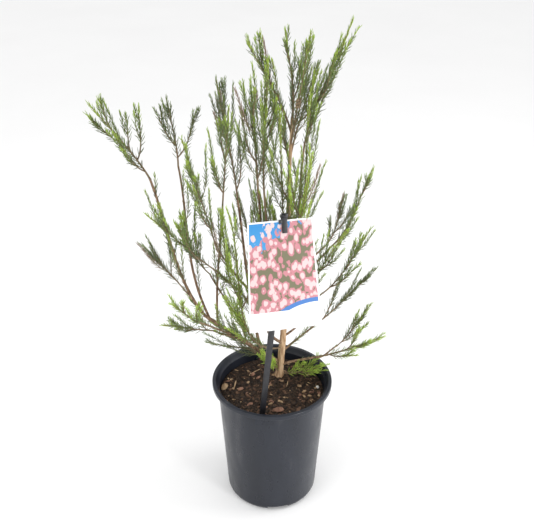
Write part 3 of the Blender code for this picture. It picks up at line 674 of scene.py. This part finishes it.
pin_place = card_place @ pin_middle @ Matrix.Rotation(math.pi / 2, 4, "X")
bmesh.ops.create_cone(stem_shape, cap_ends=True, segments=20, radius1=PIN_RADIUS,
                      radius2=PIN_RADIUS, depth=PIN_LENGTH, matrix=pin_place)
label_stem = add_piece("label_stem_moulded", mesh_of("label_stem_moulded", stem_shape), stem_black)
rounding = label_stem.modifiers.new("Rounding", "BEVEL")
rounding.width = STEM_ROUNDING
rounding.segments = 2
settle(label_stem)
smooth_faces(label_stem, edge_angle=40)
hold(label_stem, "label_plastic", "label_stem")

# The trunk: a young stem of pale tan, papery bark that cracks lengthwise and peels, over darker wood below.
# It stands in the mound of the mix, leans a little, and is as thick as a pencil at its foot.
UP = Vector((0, 0, 1))
TRUNK_FOOT = (*TRUNK_SPOT, 0.1469)
TRUNK_TIP = (0.019, 0.017, 0.4715)
TRUNK_BOW = 0.01
TRUNK_RADII = (0.0041, 0.0013)
TRUNK_FLARE = 0.0016
FLARE_SHARE = 0.035
BLUNT_END = 0.6
# brings the push of a limb's bow to 1 where it is greatest, a third of the way along
BOW_PEAK = 27 / 4
# the bark's flakes and its small roughness: how closely they lie, and how far they count
FLAKE_SCALE = Vector((420, 420, 75))
ROUGH_SCALE = Vector((1100, 1100, 420))
DEEPEST_CRACK = -0.35
ROUGH_SHARE = 0.35


class Limb:
    """A trunk, bough, stem or twig: a centre line that bows near its foot, and a radius along it."""

    def __init__(self, start, tip, bow, foot_radius, tip_radius, flare=0.0):
        self.start = Vector(start)
        self.tip = Vector(tip)
        self.bow = bow
        self.foot_radius = foot_radius
        self.tip_radius = tip_radius
        self.flare = flare
        self.length = (self.tip - self.start).length

    def point(self, share):
        """Straight from start to tip, pushed down and outward most at a third of the way."""
        chord = self.tip - self.start
        outward = (chord * chord.z - UP * chord.length_squared).normalized()
        push = BOW_PEAK * share * (1 - share) ** 2
        return self.start + chord * share + outward * (self.bow * self.length * push)

    def heading(self, share):
        """The way the limb runs at this share of its length."""
        step = 0.01
        return (self.point(min(share + step, 1)) - self.point(max(share - step, 0))).normalized()

    def radius(self, share):
        """A plain taper, wider in the root flare."""
        taper = self.foot_radius + (self.tip_radius - self.foot_radius) * share
        return taper + self.flare * max(0, 1 - share / FLARE_SHARE) ** 2


def bark_height(place):
    """How far the bark stands out here: long cracked flakes, and small roughness on them."""
    flakes = noise.noise(place * FLAKE_SCALE)
    rough = noise.noise(place * ROUGH_SCALE)
    return max(DEEPEST_CRACK, flakes) + ROUGH_SHARE * rough


def limb_shell(limb, spacing, sides, bark=0.0, sink=0.0):
    """Points and faces of a closed tube round a limb, with bark relief as a share of its radius."""
    count = max(3, round(limb.length / spacing))
    middle_way = limb.heading(0.5)
    reference = min((Vector((1, 0, 0)), Vector((0, 1, 0)), UP), key=lambda axis: abs(axis.dot(middle_way)))
    places = [limb.point(0) - limb.heading(0) * sink]
    for ring in range(count + 1):
        share = ring / count
        middle = limb.point(share)
        along = limb.heading(share)
        if ring == 0:
            middle = middle - along * sink
        side = along.cross(reference).normalized()
        other = along.cross(side)
        radius = limb.radius(share)
        for step in range(sides):
            turn = math.tau * step / sides
            aside = side * math.cos(turn) + other * math.sin(turn)
            place = middle + aside * radius
            if bark:
                place = place + aside * (bark * radius * bark_height(place))
            places.append(place)
    places.append(limb.point(1) + limb.heading(1) * (limb.radius(1) * BLUNT_END))
    faces = []
    for step in range(sides):
        after = (step + 1) % sides
        faces.append((0, 1 + after, 1 + step))
        for ring in range(count):
            low = 1 + ring * sides
            high = low + sides
            faces.append((low + step, low + after, high + after, high + step))
        last = 1 + count * sides
        faces.append((len(places) - 1, last + step, last + after))
    return places, faces


def joined(name, shells, finish):
    """One mesh object of many shells."""
    places, faces = [], []
    for shell_places, shell_faces in shells:
        first = len(places)
        places.extend(shell_places)
        faces.extend(tuple(corner + first for corner in face) for face in shell_faces)
    mesh = mesh_from(name, places, faces)
    mesh.shade_smooth()
    return add_piece(name, mesh, finish)


trunk_bark = new_finish("trunk_tan_bark", {"Roughness": 0.85, "Specular IOR Level": 0.25})
streaks = grain(trunk_bark, 420, (1, 1, 0.16), 6)
shades(trunk_bark, streaks, (0.3, (0.15, 0.08, 0.045)), (0.46, (0.4, 0.25, 0.14)), (0.68, (0.64, 0.46, 0.29)))
relief(trunk_bark, streaks, 0.0006, 0.8)
limbs = {"trunk": Limb(TRUNK_FOOT, TRUNK_TIP, TRUNK_BOW, *TRUNK_RADII, flare=TRUNK_FLARE)}
trunk_shell = limb_shell(limbs["trunk"], spacing=0.0012, sides=28, bark=0.2, sink=0.004)
trunk = joined("trunk_peeling_bark", [trunk_shell], trunk_bark)
hold(trunk, "trunk_bark", "trunk")

# The boughs: the first season's wood, brown and finely cracked, that leaves the trunk or an older bough
# at a narrow angle and bends upward. Each tapers to the place where its leafy shoots take over.
LIMB_TAPER = 0.68
MILLIMETRE = 0.001
# name, what it grows from and how far along that, its tip, bow and radius at its foot in mm
BOUGHS = [
    ("left_foot", "trunk", 0.06, (-0.075, -0.002, 0.248), 0.01, 2.6),
    ("left_outer", "left_foot", 1.0, (-0.122, -0.022, 0.423), 0.04, 1.7),
    ("left_inner", "left_foot", 0.94, (-0.1, 0.038, 0.411), 0.09, 1.5),
    ("left_stem", "left_foot", 0.84, (-0.05, -0.028, 0.399), -0.04, 1.4),
    ("left_mid", "left_foot", 0.72, (-0.1, 0.032, 0.26), 0.12, 1.3),
    ("left_short", "left_foot", 0.46, (-0.07, 0.022, 0.288), -0.05, 1.2),
    ("left_low", "left_foot", 0.36, (-0.064, -0.036, 0.251), -0.03, 1.3),
    ("left_pale", "left_foot", 0.57, (-0.07, -0.075, 0.286), 0.0, 1.3),
    ("centre", "left_foot", 0.25, (-0.038, 0.042, 0.37), 0.03, 1.8),
    ("left_leafy", "centre", 0.43, (-0.057, -0.03, 0.347), 0.02, 1.4),
    ("left_front", "centre", 0.28, (-0.057, -0.034, 0.323), -0.04, 1.3),
    ("front_left", "trunk", 0.15, (-0.015, -0.014, 0.407), 0.12, 1.8),
    ("front_right", "trunk", 0.23, (-0.007, -0.024, 0.384), 0.17, 1.7),
    ("right_low", "trunk", 0.05, (0.059, 0.012, 0.183), -0.02, 1.7),
    ("right_rim", "right_low", 0.85, (0.077, 0.034, 0.181), 0.12, 1.2),
    ("right_lower", "trunk", 0.11, (0.055, 0.05, 0.204), -0.01, 1.4),
    ("right_mid", "trunk", 0.18, (0.055, 0.035, 0.252), 0.08, 1.4),
    ("right_upper", "trunk", 0.34, (0.064, 0.022, 0.322), -0.03, 1.5),
    ("right_back", "trunk", 0.41, (0.061, 0.06, 0.303), -0.01, 1.4),
    ("right_tall", "trunk", 0.48, (0.031, 0.018, 0.426), 0.05, 1.7),
]
bough_bark = new_finish("bough_brown_bark", {"Roughness": 0.85, "Specular IOR Level": 0.25})
cracks = grain(bough_bark, 500, (1, 1, 0.3), 6)
shades(bough_bark, cracks, (0.3, (0.06, 0.036, 0.022)), (0.48, (0.17, 0.105, 0.065)),
       (0.7, (0.36, 0.24, 0.15)))
relief(bough_bark, cracks, 0.0004, 0.8)
bough_shells = []
for name, parent_name, share, tip, bow, radius in BOUGHS:
    start = limbs[parent_name].point(share)
    foot_radius = radius * MILLIMETRE
    limbs[name] = Limb(start, tip, bow, foot_radius, foot_radius * LIMB_TAPER)
    bough_shells.append(limb_shell(limbs[name], spacing=0.0018, sides=14, bark=0.14))
boughs = joined("boughs_brown_bark", bough_shells, bough_bark)
hold(boughs, "bough_bark", *(f"bough_{row[0]}" for row in BOUGHS))

# The foliage: feathery shoots that turn upward, each a thin green-brown stem with side twigs and still
# finer twigs, all closely set with stiff needles. Needles near a tip are shorter, paler and hug the twig.
TWIG_FROM = 0.06
TWIG_TO = 0.72
TWIG_REACH = (0.55, 0.95)
TWIG_LEAN = (0.6, 1.2)
TWIG_LIFT = 0.35
TWIG_BOW = 0.06
FINE_FROM = 0.1
FINE_STRETCH = 0.76
FINE_SPACING = 0.034
FINE_SHARES = (0.6, 0.95)
FINE_SPARE = 0.004
FINE_REACH = 0.065
FINE_SPREAD = 19
FINE_LIFT = 0.25
STEM_RADII = (0.0011, 0.00045)
STEM_OF_PARENT = 0.95
TWIG_RADII = (0.0008, 0.00035)
FINE_RADII = (0.0005, 0.00028)
GOLDEN_TURN = math.radians(137.5)
# name, how far up the trunk it grows, or None on the bough that shares its name, tip, bow, number of
# side twigs, their spread in degrees, the seed that places them, tone
FOLIAGE = [
    ("left_outer", None, (-0.169, -0.042, 0.505), -0.02, 5, 32, 840, "leafy"),
    ("left_inner", None, (-0.111, 0.062, 0.477), -0.07, 3, 32, 575, "shaded"),
    ("left_stem", None, (-0.041, -0.042, 0.502), 0.0, 3, 32, 377, "leafy"),
    ("left_mid", None, (-0.154, 0.09, 0.288), -0.02, 3, 32, 826, "shaded"),
    ("left_short", None, (-0.105, 0.038, 0.341), 0.06, 3, 25, 343, "leafy"),
    ("left_low", None, (-0.114, -0.058, 0.273), 0.01, 3, 32, 1037, "leafy"),
    ("left_pale", None, (-0.098, -0.105, 0.329), 0.03, 2, 32, 11, "bright"),
    ("left_rim", 0.03, (-0.081, 0.062, 0.168), -0.13, 2, 25, 713, "shaded"),
    ("left_leafy", None, (-0.083, -0.068, 0.481), 0.0, 3, 32, 2399, "leafy"),
    ("left_front", None, (-0.117, -0.088, 0.415), 0.01, 3, 18, 265, "leafy"),
    ("centre", None, (-0.059, 0.066, 0.497), -0.02, 5, 18, 2254, "shaded"),
    ("centre_bright", 0.13, (-0.045, -0.052, 0.404), 0.15, 3, 18, 176, "bright"),
    ("front_left", None, (-0.021, -0.032, 0.525), -0.01, 4, 25, 1285, "leafy"),
    ("front_right", None, (-0.005, -0.034, 0.541), -0.1, 3, 32, 1664, "leafy"),
    ("leader_front", 0.29, (0.006, -0.032, 0.494), -0.02, 2, 18, 28, "leafy"),
    ("top_dark", 0.84, (-0.003, 0.062, 0.487), -0.04, 2, 18, 594, "shaded"),
    ("top_back", 0.87, (0.047, 0.072, 0.512), -0.03, 3, 25, 639, "shaded"),
    ("top_right", 0.91, (0.034, -0.016, 0.564), 0.0, 2, 32, 1898, "leafy"),
    ("top_left", 0.95, (-0.024, -0.008, 0.554), -0.03, 3, 18, 644, "leafy"),
    ("top_tip", 1.0, (0.012, 0.034, 0.554), -0.1, 2, 18, 2483, "leafy"),
    ("right_tall", None, (0.074, 0.008, 0.57), -0.04, 4, 18, 1489, "leafy"),
    ("right_inner", 0.54, (0.036, -0.006, 0.507), 0.07, 2, 32, 916, "leafy"),
    ("right_front", 0.375, (0.037, -0.044, 0.457), 0.02, 3, 25, 250, "bright"),
    ("right_card", 0.26, (0.073, -0.048, 0.378), 0.01, 2, 18, 23, "leafy"),
    ("right_upper", None, (0.106, 0.03, 0.412), 0.06, 2, 32, 944, "leafy"),
    ("right_back", None, (0.084, 0.092, 0.353), 0.13, 3, 32, 1511, "shaded"),
    ("right_mid", None, (0.113, 0.062, 0.325), 0.07, 3, 32, 2373, "leafy"),
    ("right_lower", None, (0.125, 0.1, 0.25), 0.03, 3, 25, 180, "shaded"),
    ("right_rim", None, (0.118, 0.056, 0.226), 0.05, 3, 32, 430, "leafy"),
    ("right_low", None, (0.128, 0.006, 0.214), 0.02, 3, 32, 1363, "bright"),
    ("back_left", 0.2, (-0.019, 0.104, 0.379), 0.15, 3, 18, 1, "shaded"),
    ("back_right", 0.44, (0.021, 0.112, 0.35), 0.0, 3, 32, 3, "shaded"),
    ("foot_right", 0.012, (0.066, 0.016, 0.167), 0.06, 4, 32, 1, "basal"),
    ("foot_left", 0.02, (-0.009, -0.003, 0.196), 0.03, 3, 32, 1, "basal"),
]


def side_way(limb, share, turn, lean):
    """The way that leaves a limb here at this lean, turned round it."""
    along = limb.heading(share)
    side = along.cross(UP).normalized()
    other = along.cross(side)
    aside = side * math.cos(turn) + other * math.sin(turn)
    return along * math.cos(lean) + aside * math.sin(lean)


def twigs_of(stem, count, spread, seed):
    """Side twigs by the seeded rule: each leaves the stem at an acute angle and turns upward."""
    dice = random.Random(seed)
    twigs = []
    for step in range(count):
        share = TWIG_FROM + (TWIG_TO - TWIG_FROM) * (step + dice.random()) / count
        turn = dice.uniform(0, math.tau)
        lean = math.radians(spread) * dice.uniform(*TWIG_LEAN)
        reach = dice.uniform(*TWIG_REACH) * (1 - share) * stem.length
        way = side_way(stem, share, turn, lean) + UP * TWIG_LIFT
        start = stem.point(share)
        twigs.append(Limb(start, start + way.normalized() * reach, TWIG_BOW, *TWIG_RADII))
    return twigs


def fine_twigs_of(limb, dice):
    """Finer twigs along a leafy limb, which keep within its own reach."""
    count = max(2, round(limb.length / FINE_SPACING))
    twigs = []
    for step in range(count):
        share = FINE_FROM + FINE_STRETCH * (step + dice.random()) / count
        turn = dice.uniform(0, math.tau)
        lean = math.radians(FINE_SPREAD) * dice.uniform(*TWIG_LEAN)
        reach = min(FINE_REACH, (1 - share) * limb.length * dice.uniform(*FINE_SHARES) + FINE_SPARE)
        way = side_way(limb, share, turn, lean) + UP * FINE_LIFT
        start = limb.point(share)
        twigs.append(Limb(start, start + way.normalized() * reach, TWIG_BOW, *FINE_RADII))
    return twigs


# how far twigs and needles keep from the pot, the mix, and the card's foot, top, sides and faces
POT_GAP, MIX_GAP = 0.001, 0.0005
FOOT_GAP, TOP_GAP, SIDE_GAP, FACE_GAP = 0.002, 0.003, 0.001, 0.0016
CLEAR_STEPS = 10
onto_card = card_place.inverted()


def blocked(place):
    """Whether a point would stand in the pot, the mix or the label's card."""
    away = place.xy.length
    if away < LIP_RADIUS + POT_GAP and place.z < POT_HEIGHT + POT_GAP:
        if away > MIX_RADIUS or place.z < MIX_LEVEL + MIX_MOUND + MIX_GAP:
            return True
    seen = onto_card @ place
    if -CARD_HEIGHT - FOOT_GAP < seen.z < TOP_GAP and abs(seen.x) < CARD_FOOT_WIDTH / 2 + SIDE_GAP:
        return abs(seen.y - card_curl(seen.z)) < FACE_GAP
    return False


def clear(limb):
    """Whether a twig keeps out of the pot and the card, from a little above its root to its tip."""
    return not any(blocked(limb.point(step / CLEAR_STEPS)) for step in range(2, CLEAR_STEPS + 1))


# tone of a mass: the colour of its inner needles, of its outer needles and of its tips
TONES = {
    # the shaded tone is painted shade: masses inside, behind and under the crown take the darker old and
    # grown greens
    "shaded": ("old", "old", "grown"),
    "leafy": ("old", "grown", "young"),
    "bright": ("grown", "young", "fresh"),
    "basal": ("young", "fresh", "fresh"),
}
# the old and grown greens are partly the needles' own age and partly painted shade, where the shaded tone
# uses them
NEEDLE_COLOURS = {
    "old": (0.115, 0.15, 0.065),
    "grown": (0.175, 0.25, 0.065),
    "young": (0.31, 0.44, 0.06),
    "fresh": (0.42, 0.6, 0.09),
    "dry": (0.33, 0.23, 0.18),
}
# kind of limb: where along it its needles start, how long they are, how closely they are set
NEEDLE_SETS = {
    "bough": (0.3, 0.0095, 0.0022),
    "bough_twig": (0.05, 0.0085, 0.0013),
    "stem": (0.1, 0.0098, 0.00095),
    "twig": (0.08, 0.0092, 0.00095),
    "fine_twig": (0.05, 0.0078, 0.00095),
}
# the share of needles that stand at the foot of a leafy stretch, and how fast that fills up
SET_AT_FOOT = 0.45
SET_GAIN = 2.2
# the lean of a needle in degrees: at the limb's foot, lost towards its tip, and how far it varies
LEAN_AT_FOOT = 40
LEAN_LOSS = 24
LEAN_SPREAD = 6
LENGTH_AT_FOOT = 1.05
LENGTH_LOSS = 0.45
LENGTH_SPREAD = (0.75, 1.1)
OUTER_FROM = 0.38
TIP_FROM = 0.8
TONE_SPREAD = 0.07
needle_spots = {colour: [] for colour in NEEDLE_COLOURS}


def turned_to(way):
    """The turn that sets a piece's Z along this way."""
    return (0, math.acos(max(-1, min(1, way.z))), math.atan2(way.y, way.x))


def set_needles(limb, kind, tone, dice):
    """Needles up a limb in a tight spiral; they thin out at its foot and shorten towards its tip."""
    first_share, usual_length, spacing = NEEDLE_SETS[kind]
    inner, outer, tip_colour = tone
    count = max(4, round(limb.length * (1 - first_share) / spacing))
    turn = dice.uniform(0, math.tau)
    for step in range(count):
        share = first_share + (1 - first_share) * (step + 0.5) / count
        turn += GOLDEN_TURN
        if dice.random() > SET_AT_FOOT + SET_GAIN * (share - first_share):
            continue
        lean = math.radians(LEAN_AT_FOOT - LEAN_LOSS * share + dice.gauss(0, LEAN_SPREAD))
        way = side_way(limb, share, turn, lean)
        length = usual_length * (LENGTH_AT_FOOT - LENGTH_LOSS * share ** 2) * dice.uniform(*LENGTH_SPREAD)
        root = limb.point(share)
        if blocked(root + way * length) or blocked(root + way * (length / 2)):
            continue
        mark = share + dice.gauss(0, TONE_SPREAD)
        colour = tip_colour if mark > TIP_FROM else outer if mark > OUTER_FROM else inner
        needle_spots[colour].append((root, turned_to(way), (1, 1, length)))


BARE_ABOVE_POT = 0.02
NEEDLE_SEEDS_FROM = 7000
DRY_SHARE = 0.035
DRY_TONE = ("dry", "dry", "dry")
stem_shells, twig_shells = [], []
bough_dice = random.Random(41)
for name, *_ in BOUGHS:
    # the needles on the boughs, deep in the crown, take the shaded tone: painted shade
    set_needles(limbs[name], "bough", TONES["shaded"], bough_dice)
    for fine in fine_twigs_of(limbs[name], bough_dice):
        if fine.start.z > POT_HEIGHT + BARE_ABOVE_POT and clear(fine):
            twig_shells.append(limb_shell(fine, spacing=0.006, sides=5))
            set_needles(fine, "bough_twig", TONES["leafy"], bough_dice)
shoots = {}
for name, trunk_share, tip, bow, count, spread, seed, tone_name in FOLIAGE:
    parent, share = (limbs["trunk"], trunk_share) if trunk_share else (limbs[name], 1)
    foot_radius = min(STEM_RADII[0], parent.radius(share) * STEM_OF_PARENT)
    stem = Limb(parent.point(share), tip, bow, foot_radius, STEM_RADII[1])
    shoots[name] = stem
    dice = random.Random(seed + NEEDLE_SEEDS_FROM)
    tone = TONES[tone_name]
    stem_shells.append(limb_shell(stem, spacing=0.004, sides=8, bark=0.1))
    set_needles(stem, "stem", tone, dice)
    leafy_limbs = [stem]
    for twig in twigs_of(stem, count, spread, seed):
        if clear(twig):
            leafy_limbs.append(twig)
            stem_shells.append(limb_shell(twig, spacing=0.005, sides=6))
            set_needles(twig, "twig", tone, dice)
    for limb in leafy_limbs:
        for fine in fine_twigs_of(limb, dice):
            if clear(fine):
                twig_shells.append(limb_shell(fine, spacing=0.006, sides=5))
                fine_tone = DRY_TONE if dice.random() < DRY_SHARE else tone
                set_needles(fine, "fine_twig", fine_tone, dice)

young_bark = new_finish("young_stem_bark", {"Roughness": 0.8, "Specular IOR Level": 0.3})
shades(young_bark, grain(young_bark, 300, (1, 1, 0.4)), (0.3, (0.12, 0.08, 0.05)), (0.7, (0.27, 0.2, 0.12)))
stems = joined("leafy_stems", stem_shells, young_bark)
hold(stems, "needle_green", *(f"foliage_{row[0]}" for row in FOLIAGE))
green_bark = new_finish("green_twig_bark", {"Roughness": 0.7, "Specular IOR Level": 0.3})
shades(green_bark, grain(green_bark, 260), (0.3, (0.15, 0.14, 0.055)), (0.7, (0.23, 0.23, 0.08)))
fine_twigs = joined("fine_twigs", twig_shells, green_bark)
hold(fine_twigs, "needle_green")

# The needles: stiff, narrow and pointed. Each is a three-sided spindle of length 1 along Z, bent a little
# upward and widest a third of the way up, and is stretched to its real length at each of its spots.
# height, radius and bend of the rings between its root and its point
NEEDLE_RINGS = [(0.3, 0.00038, 0.0), (0.72, 0.00032, -0.00035)]
NEEDLE_POINT_BEND = -0.0009
NEEDLE_SIDES = 3
NEEDLES_IN_ONE = 15000
needle_places, needle_faces = [(0, 0, 0)], []
for height, radius, bend in NEEDLE_RINGS:
    for step in range(NEEDLE_SIDES):
        turn = math.tau * step / NEEDLE_SIDES
        needle_places.append((bend + radius * math.cos(turn), radius * math.sin(turn), height))
needle_places.append((NEEDLE_POINT_BEND, 0, 1))
for step in range(NEEDLE_SIDES):
    low, low_after = 1 + step, 1 + (step + 1) % NEEDLE_SIDES
    high, high_after = low + NEEDLE_SIDES, low_after + NEEDLE_SIDES
    needle_faces.append((0, low_after, low))
    needle_faces.append((low, low_after, high_after, high))
    needle_faces.append((high, high_after, len(needle_places) - 1))
needle_mesh = mesh_from("needle", needle_places, needle_faces)
needle_mesh.shade_smooth()
needle = add_piece("needle", needle_mesh)
for colour, spots in needle_spots.items():
    needle_green = new_finish(f"{colour}_needles", {
        "Base Color": (*NEEDLE_COLOURS[colour], 1), "Roughness": 0.48, "Specular IOR Level": 0.35})
    for first in range(0, len(spots), NEEDLES_IN_ONE):
        needles = strewn(f"{colour}_needles_{first // NEEDLES_IN_ONE + 1}", needle,
                         spots[first:first + NEEDLES_IN_ONE], needle_green)
        hold(needles, "needle_green")
bpy.data.objects.remove(needle)

# Seed capsules: a short cuff of small woody cups, dry and tan, set close round last year's wood. They
# stay on the shoot after it has flowered.
CAPSULE_SHOOT = shoots["top_right"]
CAPSULE_COUNT = 18
CAPSULES_FROM = 0.36
CAPSULES_STRETCH = 0.08
CAPSULE_LEAN = math.radians(80)
CAPSULE_LIFT = 0.0018
CAPSULE_SIZE = (0.0012, 0.0012, 0.001)
capsule_wood = new_finish("capsule_wood", {"Roughness": 0.8})
shades(capsule_wood, grain(capsule_wood, 900), (0.3, (0.2, 0.13, 0.08)), (0.7, (0.42, 0.3, 0.19)))
capsule_shape = bmesh.new()
bmesh.ops.create_icosphere(capsule_shape, subdivisions=2, radius=1)
capsule_mesh = mesh_of("capsule", capsule_shape)
capsule_mesh.shade_smooth()
capsule = add_piece("capsule", capsule_mesh)
capsule_spots = []
for step in range(CAPSULE_COUNT):
    share = CAPSULES_FROM + CAPSULES_STRETCH * step / CAPSULE_COUNT
    way = side_way(CAPSULE_SHOOT, share, step * GOLDEN_TURN, CAPSULE_LEAN)
    capsule_spots.append((CAPSULE_SHOOT.point(share) + way * CAPSULE_LIFT, turned_to(way), CAPSULE_SIZE))
capsules = strewn("seed_capsules", capsule, capsule_spots, capsule_wood)
hold(capsules, "needle_green")
bpy.data.objects.remove(capsule)
